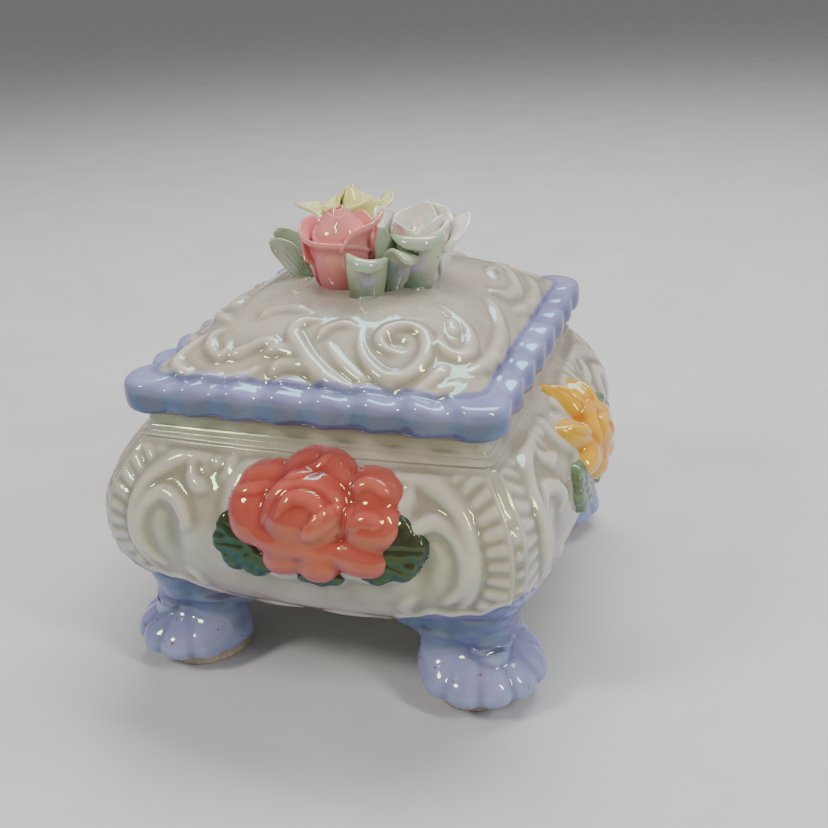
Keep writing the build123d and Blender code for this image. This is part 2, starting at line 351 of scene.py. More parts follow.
# Half-width at the corner edges, and the swell of each face past its corners, against height.
HALF = profile([
    (BODY_BOTTOM, 32.4), (18.0, 35.2), (20.0, 37.4), (22.8, 39.3), (27.0, 41.1), (32.8, 42.0),
    (38.8, 41.7), (43.2, 40.3), (47.0, 38.1), (BULGE_TOP, 36.0), (52.3, 34.6), (NECK_TOP, 34.2),
])
SWELL = profile([
    (BODY_BOTTOM, 0.8), (18.0, 2.4), (20.0, 3.3), (23.0, 4.4), (28.0, 5.2), (33.5, 5.4),
    (38.8, 5.1), (43.2, 4.4), (47.0, 3.3), (BULGE_TOP, 2.0), (52.3, 0.5), (NECK_TOP, 0.2),
])
CHAMFER = profile([(BODY_BOTTOM, 3.0), (24.0, 2.0), (30.0, 1.7), (44.0, 1.6), (NECK_TOP, 1.8)])
FACE_COLS = 130
EDGE_COLS = 8
FACE_CROWD = 0.43 * math.pi  # crowds a face's columns towards its corners


def turned(face, u, out, z):
    """Points of a face (across, outwards, up) as x, y, z. Faces: 0 front, 1 right, 2 back, 3 left."""
    x, y = ((u, -out), (out, u), (-u, out), (-out, -u))[face]
    return np.stack(np.broadcast_arrays(x, y, z), -1)


def face_halves(face, half):
    """Half-width of a face, and its distance from the middle, where the front's half-width is half."""
    return (half, half + DEPTH_EXTRA) if face % 2 == 0 else (half + DEPTH_EXTRA, half)


def face_point(face, u, z):
    """A point of the plain swelling surface."""
    wide, out = face_halves(face, HALF(z))
    s = u / (wide - CHAMFER(z))
    return turned(face, u, out + SWELL(z) * np.clip(1 - s * s, 0, 1), z)


def face_frame(face, u, z, step=0.3):
    """Points and outward normals of the plain surface."""
    p = face_point(face, u, z)
    n = np.cross(face_point(face, u + step, z) - p, face_point(face, u, z + step) - p)
    return p, n / np.linalg.norm(n, axis=-1, keepdims=True)


# Petals of a relief rose: across, height, half-sizes, turn in degrees, how far each stands out, pointedness.
ROUND_ROSE = [
    (-0.4, 40.6, 8.2, 6.2, 0, 4.5, 2.4),
    (-10.6, 39.6, 5.0, 6.4, 8, 3.1, 2.1),
    (-9.6, 45.2, 5.0, 2.8, 14, 2.3, 2.0),
    (-2.4, 47.2, 4.4, 3.0, 24, 2.3, 1.9),
    (3.4, 47.0, 5.0, 3.0, -22, 2.5, 1.9),
    (11.6, 44.8, 5.4, 3.4, -10, 2.8, 2.2),
    (12.2, 39.2, 5.4, 4.6, -4, 3.3, 2.3),
    (-1.4, 34.8, 10.4, 3.0, -5, 3.2, 2.6),
    (-4.0, 31.6, 4.6, 3.8, 12, 2.8, 2.2),
    (2.4, 30.8, 4.2, 3.8, 0, 2.9, 2.2),
    (10.2, 33.0, 5.6, 3.9, -12, 3.0, 2.3),
]
POINTED_ROSE = [
    (0.6, 39.4, 6.0, 5.4, 0, 4.4, 2.2),
    (-7.6, 42.6, 6.8, 3.4, -34, 2.8, 1.5),
    (-0.2, 45.4, 3.6, 6.0, 2, 2.9, 1.4),
    (6.4, 44.0, 5.6, 3.6, 52, 3.0, 1.5),
    (-7.4, 37.4, 6.0, 3.8, 6, 3.0, 1.8),
    (8.8, 38.8, 5.2, 4.2, 4, 3.1, 1.8),
    (-2.6, 34.0, 5.0, 3.8, 20, 3.2, 1.9),
    (5.0, 33.6, 5.0, 3.8, -18, 3.2, 1.9),
]
# The bud's rolled edges, and folds of the petals round it.
ROUND_FOLDS = [
    ([(-7.6, 38.0), (-5.8, 42.6), (-1.6, 45.0), (3.6, 44.6), (7.4, 41.8), (7.8, 38.0)], 1.5, 0.55),
    ([(-4.4, 39.4), (-2.0, 42.0), (1.4, 42.2), (3.4, 40.4), (2.0, 38.6)], 1.3, 0.45),
    ([(0.6, 36.4), (4.0, 39.0), (6.8, 42.0)], 1.5, 0.6),
    ([(7.8, 44.6), (11.4, 45.4), (15.4, 43.8)], 1.2, 0.5),
    ([(8.0, 38.6), (11.0, 40.2), (14.8, 39.6)], 1.3, 0.45),
    ([(-5.0, 45.2), (-0.4, 46.6), (2.8, 49.0)], 1.0, 0.5),
    ([(-14.0, 42.4), (-9.6, 43.2), (-6.6, 44.0)], 1.1, 0.45),
]
POINTED_FOLDS = [
    ([(-4.4, 38.0), (-2.8, 42.2), (0.8, 44.0), (4.4, 42.2), (5.4, 38.4)], 1.3, 0.6),
    ([(-2.0, 39.0), (0.4, 41.2), (2.6, 39.6), (1.2, 37.2)], 1.1, 0.5),
    ([(-0.4, 44.4), (0.0, 47.4), (-0.2, 50.2)], 0.9, 0.5),
    ([(-5.0, 41.2), (-8.0, 43.0), (-11.6, 45.4)], 0.9, 0.5),
    ([(5.0, 41.6), (7.0, 44.6), (8.4, 47.4)], 0.9, 0.5),
]
# Leaflets round a relief rose: where each starts, where its tip is, and its half-width.
LEAFLETS = [
    ((-10.4, 34.4), (-17.6, 37.8), 3.6),
    ((-10.0, 33.8), (-18.8, 33.2), 3.6),
    ((-9.4, 33.4), (-16.4, 28.4), 3.7),
    ((-8.4, 32.6), (-11.2, 26.6), 3.4),
    ((12.4, 36.0), (19.6, 39.8), 3.6),
    ((12.4, 35.4), (22.4, 35.6), 4.0),
    ((12.4, 34.4), (20.4, 30.2), 3.9),
    ((11.4, 33.4), (14.8, 27.8), 3.4),
    ((-2.2, 27.8), (7.4, 28.2), 2.2),
]
# The sprigs of the front and back, then of the sides: petals, folds, and the slots of rose and leaves.
SPRIGS = [
    (ROUND_ROSE, ROUND_FOLDS, "coral_glaze", "dark_green_glaze"),
    (POINTED_ROSE, POINTED_FOLDS, "amber_glaze", "sage_glaze"),
]
# Where each goes on its face: shift across, then the height of its middle and its stretch.
SPRIG_PLACES = [(3.6, 41.0, 0.87), (0.0, 39.8, 0.84)]
SPRIG_MIDDLE = 38.0  # the height of the middle in the tables above


def drawn(face, u, z):
    """A face's across and height in the terms that its sprig is drawn in."""
    shift, middle, stretch = SPRIG_PLACES[face % 2]
    return u - shift, SPRIG_MIDDLE + (z - middle) / stretch


def petal_cover(u, z, petals):
    """How far inside each petal every point is: 1 at its middle, 0 at its edge, negative outside."""
    cover = []
    for cu, cz, ru, rz, turn, _, point in petals:
        a = math.radians(turn)
        du, dz = u - cu, z - cz
        p = np.abs((du * math.cos(a) + dz * math.sin(a)) / ru)
        q = np.abs((-du * math.sin(a) + dz * math.cos(a)) / rz)
        cover.append(1 - (p**point + q**point) ** (1 / point))
    return cover


def rose_height(u, z, petals, folds):
    """How far a relief rose stands out of the face."""
    cover = petal_cover(u, z, petals)
    heights = []
    for inside, (cu, cz, _, _, _, tall, _) in zip(cover, petals):
        lean = 0.05 * ((u - cu) * np.sign(cu) - 0.4 * (z - cz))
        dome = np.clip(1.04 - (1 - inside) ** 2.2, 0, 1) ** 0.6
        heights.append(np.where(inside > 0, (tall + lean) * dome, 0))
    rose = softened(sum(np.clip(h, 0, None) ** 6 for h in heights) ** (1 / 6), 5)
    inside = np.max(cover, axis=0) + 0.06
    for path, width, height in folds:
        rose = rose + np.where(inside > 0, stroke(u, z, smooth_path(path), width, height), 0)
    edge = np.clip(-inside * 5.0, 0, 1)  # past the petals' edge the piece dives under the body's surface
    return np.where(inside > 0, rose + 0.35, 0.8 - 2.2 * edge)


def leaf_height(u, z):
    """How far the leaves round a relief rose stand out, with midribs, side veins and lobed edges."""
    best = np.full(u.shape, -2.0)
    for (u0, z0), (u1, z1), half in LEAFLETS:
        length = math.hypot(u1 - u0, z1 - z0)
        cu, cz = (u1 - u0) / length, (z1 - z0) / length
        along = ((u - u0) * cu + (z - z0) * cz) / length
        across = -(u - u0) * cz + (z - z0) * cu
        lobes = 1 + 0.07 * np.sin(math.pi * 5.0 * along)
        edge = half * np.clip(np.sin(math.pi * np.clip(along, 0, 1) ** 1.15), 0, 1) ** 0.5 * lobes
        inside = np.where((along > 0) & (along < 1), 1 - np.abs(across) / np.maximum(edge, 0.05), -1)
        veins = 0.10 * np.cos(2 * math.pi * (along * 2.6 - np.abs(across) / (2.0 * half)))
        rise = 0.9 + 1.15 * np.clip(inside, 0, 1) ** 0.6 + veins * np.clip(inside * 3, 0, 1)
        rise -= 0.5 * np.exp(-((across / 0.45) ** 2))
        best = np.maximum(best, np.where(inside > 0, rise, 0.7 + 2.4 * np.clip(inside, -1, 0) * half / 1.2))
    return softened(best, 2)


# Scrolls of a body face, drawn for its right half and mirrored: across and height.
SCROLL_CENTRE = (20.4, 33.4)
SCROLL_RADIUS = 13.4
VOLUTE = [
    (27.6, 25.4), (31.4, 28.6), (32.6, 33.4), (31.0, 38.2), (27.2, 40.6), (23.4, 39.4), (21.8, 36.4),
    (23.6, 34.2),
]
SHELL_HOOK = [(19.6, 48.0), (21.6, 45.6), (20.6, 43.2), (17.2, 42.2)]
LOWER_WAVE = [(0, 18.6), (7, 19.8), (14, 18.0), (20, 19.4), (26, 21.6), (31, 24.6)]
LOWER_HOOK = [(23, 27.0), (20.6, 24.0), (23.6, 21.6), (28, 21.0)]
GADROON_PITCH = math.radians(9.6)


def body_relief(u, z, face):
    """Height of the moulded scrolls, ribs and lips on a body face."""
    wide, _ = face_halves(face, HALF(z))
    height, z = z, z - 2.4 * ease((z - 19) / 14)  # the scrolls are drawn for a slightly lower wall
    side = np.abs(u) - (DEPTH_EXTRA if face % 2 else 0) * ease((np.abs(u) - 12) / 18)
    edge = wide - CHAMFER(z) - np.abs(u)  # distance in from the corner edge
    su, sz = SCROLL_CENTRE
    reach = np.hypot(side - su, z - sz)
    angle = np.arctan2(z - sz, side - su)
    ribs = 0.7 * np.abs(np.cos(math.pi * angle / GADROON_PITCH)) ** 0.8
    ribs = ribs * ease((reach - SCROLL_RADIUS - 1.4) / 1.0) * ease((edge - 0.1) / 0.9)
    ribs = ribs * ease((angle + 0.75) / 0.2) * ease((1.25 - angle) / 0.3)
    parts = [
        stroke(side, z, arc(su, sz, SCROLL_RADIUS, -42, 104), 1.8, 1.6),
        stroke(side, z, arc(su, sz, SCROLL_RADIUS + 1.5, 20, 96), 1.0, 0.7),
        ribs,
        stroke(side, z, smooth_path(VOLUTE), 1.7, 1.4),
        stroke(side, z, smooth_path(SHELL_HOOK), 1.4, 1.1),
        stroke(side, z, arc(16.4, 46.4, 2.7, -60, 250), 1.1, 0.95),
        knob(side, z, 16.6, 46.4, 1.6, 1.4, 0.8),
        0.45 * np.clip(1 - (edge / 1.1) ** 2, 0, 1),
        stroke(side, z, smooth_path(LOWER_WAVE), 1.3, 0.6),
        stroke(side, z, smooth_path(LOWER_HOOK), 1.3, 0.7),
    ]
    petals = SPRIGS[face % 2][0]
    cover = petal_cover(*drawn(face, u, height), petals)
    inside = np.max([c * min(p[2], p[3]) for c, p in zip(cover, petals)], axis=0)
    mound = 0.8 * ease((inside + 2.3) / 1.7)
    hollow = 0.9 * np.exp(-(((side - 24.8) / 2.4) ** 2) - ((z - 33.0) / 4.4) ** 2)
    lip = lip_height(side)
    lip_edge = 0.8 * np.clip(1 - ((height - lip) / 0.9) ** 2, 0, 1) * ease((side - 14) / 5)
    parts = [part * ease((height - lip) / 1.2) for part in parts] + [lip_edge, mound]
    fade = ease((BULGE_TOP + 0.2 - height) / 1.2) * ease((height - BODY_BOTTOM) / 1.0)
    return (softened(stack(parts), 1) - hollow) * fade


# Where the lilac of the leg brackets ends on the body: distance from the face's middle, height.
LIP_LINE = profile([
    (0.0, 15.0), (12.0, 15.2), (15.0, 17.0), (18.0, 21.0), (22.0, 23.8), (26.0, 24.6), (30.0, 24.6),
    (33.0, 25.0), (36.6, 26.6), (41.0, 28.8), (46.0, 29.6),
])


def lip_height(side):
    """The wavy lip between the body's cream and the brackets' lilac."""
    return LIP_LINE(side) + 0.35 * np.sin(side * 1.05)


def body_columns():
    """For each column of the body's grid: its face, place across the face, and place across the corner."""
    face, across, corner = [], [], []
    s = np.sin(np.linspace(-FACE_CROWD, FACE_CROWD, FACE_COLS)) / math.sin(FACE_CROWD)
    q = np.linspace(0, 1, EDGE_COLS + 2)[1:-1]
    for k in range(4):
        face += [k] * (FACE_COLS + EDGE_COLS)
        across += [*s, *np.ones(EDGE_COLS)]
        corner += [*np.zeros(FACE_COLS), *q]
    return np.array(face), np.array(across), np.array(corner)


def body_loop(z, half, swell, chamfer, columns):
    """One loop of the body, as points with their face and distance across."""
    face, across, corner = columns
    points, sides = np.zeros((len(face), 3)), np.zeros(len(face))
    for k in range(4):
        here = face == k
        wide, out = face_halves(k, half)
        s, q = across[here], corner[here]
        u = s * (wide - chamfer) + q * chamfer
        rounding = 0.55 * chamfer * q * (1 - q)
        away = out + swell * (1 - s * s) - q * chamfer + rounding
        points[here] = turned(k, u + rounding, away, np.full(len(u), z))
        sides[here] = u
    return points, sides


NECK_STEPS = [  # the neck and rim above the wall: how far up, and how far in
    (0.3, 0.15), (0.5, 0.6), (0.65, 0.95), (0.9, 0.8), (1.15, 0.55), (1.4, 0.6), (1.6, 1.0), (1.8, 1.45),
    (2.05, 1.5), (2.3, 1.35), (2.6, 1.3), (2.9, 1.5), (3.1, 1.75), (3.5, 1.75), (4.6, 1.8), (5.2, 1.8),
    (5.45, 1.9), (5.6, 2.15), (5.6, 3.9), (5.45, 4.25),
]
WALL_ROWS = 96
PIECE_ENDS = {"rose": "petals", "leaves": "veined"}
LILAC_TOP = 32.0


def body_rows():
    """The body's loops, as height, half-width, swell and chamfer: underside, wall, neck and inside."""
    under = [(BODY_BOTTOM + 1.0, 31.0 * share, 0.8 * share, 3.6 * share) for share in (0.03, 0.3, 0.6, 0.85)]
    under += [(BODY_BOTTOM + 0.7, 30.2, 0.8, 3.6), (BODY_BOTTOM + 0.05, 31.6, 0.8, 3.6)]
    wall = [(z, HALF(z), SWELL(z), CHAMFER(z)) for z in np.linspace(BODY_BOTTOM, BULGE_TOP, WALL_ROWS)]
    neck, inside = [], []
    for up, inwards in NECK_STEPS:
        swell = np.interp(up, [0, 2.4, 5.6], [SWELL(BULGE_TOP), 0.5, 0.2])
        neck.append((BULGE_TOP + up, HALF(BULGE_TOP) - inwards, swell, CHAMFER(BULGE_TOP + up)))
    for z in np.linspace(BULGE_TOP + 2.0, FLOOR_TOP + 2.5, 24):
        inside.append((z, HALF(z) - WALL, SWELL(z) * 0.9, CHAMFER(z)))
    for share in (0.97, 0.93, 0.85, 0.6, 0.3, 0.03):
        rise = 1.4 * max(0, (share - 0.9) / 0.07) ** 2
        inside.append((FLOOR_TOP + rise, 31.9 * share, 0.6 * share, 3.6 * share))
    return under, wall, neck, inside


def build_body():
    """The hollow box body as one closed skin, with its relief on the wall and lilac down to the brackets."""
    columns = body_columns()
    face, _, corner = columns
    under, wall, neck, inside = body_rows()
    made = [body_loop(*row, columns) for row in under + wall + neck + inside]
    points, sides = np.array([m[0] for m in made]), np.array([m[1] for m in made])
    wall_rows = np.arange(len(under), len(under) + len(wall))
    rise = np.zeros(sides.shape)
    for k in range(4):
        block = np.ix_(wall_rows, np.nonzero(face == k)[0])
        rise[block] = body_relief(sides[block], points[..., 2][block], k)
    bevel = corner > 0
    for row in wall_rows:
        z = points[row, 0, 2]
        ribs = 0.35 * math.cos(2 * math.pi * z / 3.4) * math.sin(math.pi * min(1, max(0, (z - 20) / 26)))
        rise[row, bevel] = (ribs - 0.15) * np.sin(math.pi * corner[bevel]) + 0.2
    side = np.abs(sides)
    lilac = ease((lip_height(side) - points[..., 2]) / 0.5 + 0.5)
    lilac[points[:, 0, 2] > LILAC_TOP] = 0
    lilac[-len(inside):] = 0
    lilac[: len(under)] *= ease((side[: len(under)] - 20) / 6)
    points = points + grid_normals(points) * rise[..., None]
    # painted shade: the relief's creases get the darker crease colour, partly as deeper glaze
    fields = {"accent": lilac, "pool_and_shade": pooled_and_shaded(rise)}
    tube("body_shell_glazed", points, "cream_glaze", "box", ["body_shell"], fields)


def relief_patch(name, node_name, face, height, low, high, slot, step=0.27):
    """A glazed relief standing on a face: height says how far out of the plain surface it stands."""
    u, z = np.meshgrid(np.arange(low[0], high[0], step), np.arange(low[1], high[1], step))
    p, n = face_frame(face, u, z)
    h = height(*drawn(face, u, z))
    keep = np.maximum.reduce([h[:-1, :-1], h[1:, :-1], h[:-1, 1:], h[1:, 1:]]) > -0.3
    points, faces, used = slab_parts(p + n * np.maximum(h, -0.6)[..., None], p - n * 1.3, keep)
    # painted shade: the creases between petals and leaflets get the darker crease colour, partly as deeper
    # glaze
    add_mesh(name, points, faces, slot, "box", [node_name], {"pool_and_shade": np.tile(pooled_and_shaded(h)[used], 2)})


def build_face_roses():
    """The rose and the leaves on each face."""
    for face, name in enumerate(("front", "right", "back", "left")):
        petals, folds, rose_slot, leaf_slot = SPRIGS[face % 2]
        shift, middle, stretch = SPRIG_PLACES[face % 2]
        for kind, shape, slot, down, up in (
            ("rose", lambda u, z: rose_height(u, z, petals, folds), rose_slot, 15, 14.5),
            ("leaves", leaf_height, leaf_slot, 14, 6),
        ):
            relief = f"{name}_relief_{kind}"
            low, high = (shift - 24, middle - down * stretch), (shift + 26, middle + up * stretch)
            relief_patch(f"{relief}_{PIECE_ENDS[kind]}", relief, face, shape, low, high, slot)


# ---- legs ----
TOE_PITCH = math.radians(33)
TOE_FAN = math.radians(98)
LEG_COLS = 168
# Up the leg: height, its reach on the outer diagonal, on its flanks and on its inner side, and toe depth.
LEG_PROFILE = smooth_path([
    (2.45, 8.9, 8.8, 7.0, 0.2), (2.6, 9.9, 9.8, 7.6, 0.4), (3.5, 11.7, 11.4, 8.4, 0.75),
    (4.8, 12.9, 12.2, 8.5, 0.9), (6.4, 13.1, 12.3, 8.2, 0.9), (8.0, 12.4, 12.1, 7.7, 0.8),
    (9.3, 10.9, 11.8, 7.2, 0.6), (10.4, 8.9, 11.6, 7.0, 0.35), (11.4, 7.3, 11.5, 7.0, 0.15),
    (12.6, 6.5, 11.5, 7.1, 0.0), (14.0, 6.7, 11.5, 7.2, 0.0), (15.4, 7.3, 11.5, 7.7, 0.0),
    (17.2, 8.1, 11.3, 8.1, 0.0), (19.2, 8.8, 10.9, 8.4, 0.0), (21.0, 9.2, 10.2, 8.4, 0.0),
    (22.6, 8.6, 9.4, 8.0, 0.0),
], 104)
LEG_SHIFT = 0.9
LEG_TOP = BODY_BOTTOM + 1.5
FLANK = (math.radians(58), math.radians(52))  # where the foot's flare gives way to its upright flanks
INNER = (math.radians(132), math.radians(24))
WING = math.radians(126)  # the bracket spreads along the body's edge on both sides


def wall_middle(x, y):
    """Height of the middle of the body's floor or wall over a point: legs end there, in the porcelain."""
    heights = np.linspace(BODY_BOTTOM, 32.0, 80)
    bow = SWELL(LEG_TOP + 3.5)
    across, deep = np.abs(x), np.abs(y) - DEPTH_EXTRA
    out = np.maximum(across - bow * (1 - (deep / LID_HALF) ** 2), deep - bow * (1 - (across / LID_HALF) ** 2))
    return np.maximum(LEG_TOP, np.interp(out, HALF(heights) - WALL / 2, heights))


def build_leg(name, sign_x, sign_y):
    """A paw foot with creased toes, an ankle knob on its outer corner, and a leafy bracket under the body."""
    low, high = box_mm(f"felt_pad_{name}")
    centre = (low + high) / 2
    out = math.atan2(sign_y, sign_x)
    turn = np.linspace(-math.pi, math.pi, LEG_COLS, endpoint=False)
    z, outer, flank, inner, depth = (LEG_PROFILE[:, [k]] for k in range(5))
    away = np.abs(turn)
    reach = outer + (flank - outer) * ease((away - FLANK[0]) / FLANK[1])
    reach = reach + (inner - reach) * ease((away - INNER[0]) / INNER[1])
    toes = np.abs(np.sin(math.pi * (turn / TOE_PITCH + 0.12 * np.sin(2 * turn)))) ** 0.42
    fan = ease((TOE_FAN - away) / 0.4)
    wing = np.exp(-(((away - WING) / 0.2) ** 2))
    reach = reach + 5.4 * wing * ease((z - 12.6) / 3.0) * ease((21 - z) / 4)
    above = z - 14.7 - 0.45 * np.cos(4 * turn)  # height above the bracket's wavy lower lip
    reach = reach + (0.6 * ease(above / 0.6) - 0.6 * ease((above - 0.8) / 1.8)) * ease((2.2 - away) / 0.5)
    x = LEG_SHIFT + reach * np.cos(turn)
    y = reach * np.sin(turn) + 0 * z
    c, s = math.cos(out), math.sin(out)
    points = np.stack([centre[0] + x * c - y * s, centre[1] + x * s + y * c, z + 0 * turn], -1)
    swell = 0.35 * np.exp(-(((z - 5.0) / 2.4) ** 2))  # each toe is fullest near its end
    rise = (-depth * (1 - toes) + swell * toes) * fan
    across = reach * turn
    rise = rise + 2.2 * knob(across, z, -0.6, 13.1, 4.6, 2.7, 1.0) ** 0.55
    rise = rise - knob(across, z, -0.9, 13.9, 1.9, 1.0, 1.2)
    for lobe in (-1, 1):
        rise = rise + knob(across, z, lobe * 6.6, 16.9, 3.6, 1.7, 0.5)
    rise = softened(rise, 2)
    points = points + grid_normals(points) * rise[..., None]
    points[..., 2] = np.clip(points[..., 2], high[2] + 0.02, wall_middle(points[..., 0], points[..., 1]))
    middle = points[-1].mean(0)
    cap = middle + 0.2 * (points[-1] - middle)
    cap[:, 2] = LEG_TOP
    points = np.concatenate([points, cap[None]])
    rise, z = np.vstack([rise, 0 * rise[:1]]), np.vstack([z, [[LEG_TOP]]])
    # painted shade: besides the creases, the upper leg and the bracket under the body are painted darker
    pool_and_shade = pooled_and_shaded(rise, 1.6) + 0.5 * ease((z - 10) / 4) - 0.15
    tube(f"leg_{name}_paw", points, "lilac_glaze", "box", [f"leg_{name}"], {"pool_and_shade": pool_and_shade})


PAD_STEPS = [(0, 0.05), (0, 0.6), (0, 0.95), (0.15, 0.99), (0.5, 1), (0.85, 0.99), (1, 0.96), (1, 0.05)]


def build_pad(name):
    """A felt disc with a soft, slightly uneven edge."""
    low, high = box_mm(f"felt_pad_{name}")
    centre, radius = (low + high) / 2, (high[0] - low[0]) / 2
    rng = np.random.default_rng(len(name))
    turn = np.linspace(0, 2 * math.pi, 96, endpoint=False)
    uneven = 0.12 * np.sin(3 * turn + rng.uniform(0, 6)) + rng.normal(0, 0.05, turn.size)
    points = []
    for up, share in PAD_STEPS:
        reach = radius * share + uneven * (share > 0.9)
        x, y = centre[0] + reach * np.cos(turn), centre[1] + reach * np.sin(turn)
        points.append(np.stack([x, y, low[2] + up * (high[2] - low[2]) + 0 * turn], -1))
    tube(f"felt_pad_{name}_disc", np.array(points), "beige_felt", "box", [f"felt_pad_{name}"])


# ---- lid ----
RIM_BOTTOM = NECK_TOP + 0.15
RIM_TOP = 62.6
RIM_WIDTH = 4.2
DOME_X, DOME_Y = LID_HALF - RIM_WIDTH, LID_HIGH[1] - RIM_WIDTH
DOME_RISE = 11.2
SCALLOP = 1.1  # how far the rim's valleys lie in from its lobes
RIPPLE = 0.9  # and how far below them
LOBES = 6
CORNER_LOBE = 10.2
LID_COLS = 132
LID_CORNER_COLS = 14
LIP_HALF = 30.5
LIP_BOTTOM = RIM_BOTTOM - 3.5
HOLLOW_HALF = LIP_HALF - 2.6
CEILING_DROP = 3.0
SCROLLS_FROM = -14  # each slope of the dome has its scrolls beyond this line

# Scrolls of the dome's front slope (x, y) with width and height, then those of its sides, turned to front.
# Their places were picked in the photo. A scratch script turned them into millimetres on the dome, and
# they were then rounded and adjusted by hand, so the two tables are not wholly drawn by hand.
FRONT_SCROLLS = [
    ([
        (-1.2, -23.6), (-4.6, -24.8), (-5.4, -27.4), (-2.8, -30.4), (0.5, -33.0), (4.6, -35.2), (9.4, -36.4),
        (16.0, -35.8),
    ], 1.7, 1.3),
    ([
        (7.2, -24.6), (8.6, -29.2), (11.6, -32.4), (15.2, -33.9), (18.9, -32.9), (20.8, -29.4), (19.8, -24.9),
        (16.4, -23.4), (12.8, -24.9), (11.8, -27.6), (14.2, -29.0), (16.4, -27.6),
    ], 1.45, 1.2),
    ([(-0.4, -28.4), (0.9, -26.0), (3.4, -24.6), (6.6, -24.8)], 1.1, 0.8),
    ([(1.6, -28.6), (5.2, -31.6), (9.0, -33.8), (12.4, -35.0)], 1.0, 0.7),
    ([
        (-20.4, -25.6), (-22.6, -27.0), (-22.0, -29.8), (-19.2, -32.0), (-17.8, -31.2), (-18.8, -28.4),
    ], 1.1, 1.0),
    ([(-17.6, -32.2), (-14.2, -31.0), (-10.8, -29.4), (-6.8, -29.6)], 1.3, 0.9),
    ([(-10.2, -31.2), (-7.6, -30.4), (-4.6, -30.8), (-0.8, -31.8)], 1.3, 0.9),
    ([(-8.0, -34.8), (-5.8, -33.2), (-2.0, -32.8), (0.4, -33.4)], 1.4, 0.9),
    ([(-8.0, -37.0), (-3.8, -35.9), (2.4, -36.3)], 1.1, 0.7),
    ([
        (-21.7, -24.4), (-27.2, -28.2), (-28.4, -32.2), (-24.4, -35.6), (-18.4, -36.4), (-12.6, -35.6),
        (-10.0, -33.4),
    ], 1.5, 1.0),
    ([(-14.0, -24.2), (-12.2, -22.0), (-8.0, -20.8), (-4.0, -21.6)], 1.5, 0.8),
    ([(20.6, -36.4), (23.4, -33.0), (25.2, -29.6)], 1.4, 0.9),
    ([(14.2, -36.8), (20.0, -37.4), (25.0, -35.0), (28.6, -31.2)], 1.2, 0.7),
]
SIDE_SCROLLS = [
    ([
        (-13.2, -18.7), (-16.0, -22.7), (-17.9, -25.6), (-20.8, -27.2), (-24.8, -27.4), (-26.6, -25.2),
        (-25.6, -22.8), (-22.6, -21.8),
    ], 1.5, 1.1),
    ([(-0.2, -24.8), (-3.6, -27.6), (-9.5, -30.2), (-17.1, -31.2), (-24.7, -30.6), (-29.6, -28.2)], 1.5, 1.1),
    ([(-17.2, -22.4), (-19.6, -23.6), (-21.8, -23.8)], 1.4, 0.9),
    ([(24.0, -20.0), (18.2, -25.8), (12.9, -28.1), (6.0, -27.2), (3.0, -24.0)], 1.5, 1.0),
    ([(2.0, -29.6), (8.0, -31.2), (15.0, -31.6), (22.0, -30.2), (27.0, -27.0)], 1.4, 0.9),
    ([(10.0, -24.6), (13.2, -22.4), (16.4, -22.8), (16.6, -25.0)], 1.2, 0.9),
]


def dome_height(x, y):
    """Height of the plain dome above the rim's top, and 0 outside it."""
    flat = np.clip(1 - np.abs(x / DOME_X) ** 4, 0, 1) * np.clip(1 - np.abs(y / DOME_Y) ** 4, 0, 1)
    return DOME_RISE * flat**1.3


def dome_relief(x, y):
    """Height of the scrolls on all four slopes of the dome."""
    total = np.zeros(x.shape)
    for quarter, (u, v) in enumerate(((x, y), (y, -x), (-x, -y), (-y, x))):
        scrolls = FRONT_SCROLLS if quarter % 2 == 0 else SIDE_SCROLLS
        here = v < SCROLLS_FROM
        for path, width, height in scrolls:
            got = np.zeros(x.shape)
            got[here] = stroke(u[here], v[here], smooth_path(path, 70), width, height, 0.85)
            total = (total**5 + got**5) ** 0.2
    return total - knob(x, y, 15.2, -27.6, 2.4, 1.7, 0.9)  # the eye of the big volute is sunk


def lid_columns():
    """Side number, place along the side and place round the corner of each column of the lid's grid."""
    side, along, corner = [], [], []
    for k in range(4):
        side += [k] * (LID_COLS + LID_CORNER_COLS)
        along += [*np.linspace(-1, 1, LID_COLS), *np.ones(LID_CORNER_COLS)]
        corner += [*np.zeros(LID_COLS), *np.linspace(0, 1, LID_CORNER_COLS + 2)[1:-1]]
    return np.array(side), np.array(along), np.array(corner)


def lid_loop(half, radius, columns):
    """One loop of the lid's plan: points, outward directions, and place along each side (-1 to 1)."""
    side, along, corner = columns
    points, outwards, place = np.zeros((len(side), 2)), np.zeros((len(side), 2)), np.zeros(len(side))
    for k in range(4):
        here = side == k
        wide, out = face_halves(k, half)
        s, q = along[here], corner[here] * math.pi / 2
        u = s * (wide - radius) + radius * np.sin(q)
        v = out - radius * (1 - np.cos(q))
        points[here] = turned(k, u, v, 0)[:, :2]
        outwards[here] = turned(k, np.sin(q), np.cos(q), 0)[:, :2]
        place[here] = u / wide
    return points, outwards, place


def scallops(columns, place):
    """The rim's wave: 1 at the middle of each lobe, 0 in the valleys. Each corner is one larger lobe."""
    share = (LID_HALF - CORNER_LOBE) / LID_HALF
    wave = 0.5 - 0.5 * np.cos(math.pi * LOBES * (place / share + 1))
    beyond = ease((np.abs(place) - share) / (1 - share) / 0.42)
    return np.where(np.abs(place) < share, wave, beyond)


RIM_STEPS = [  # round the rim from its underside: how far in and up, and its share of the scallop
    (4.4, 0, 0), (3.6, 0.02, 0.3), (2.6, 0.08, 0.6), (1.6, 0.22, 0.85), (0.9, 0.45, 0.95), (0.45, 0.8, 1),
    (0.2, 1.3, 1), (0.05, 2, 1), (0, 3, 1), (0, 4, 1), (0.05, 4.8, 1), (0.2, 5.35, 1), (0.5, 5.85, 1),
    (1, 6.2, 1), (1.7, 6.42, 0.97), (2.5, 6.54, 0.93), (3.3, 6.6, 0.88),
    (RIM_WIDTH, RIM_TOP - RIM_BOTTOM, 0.8),
]
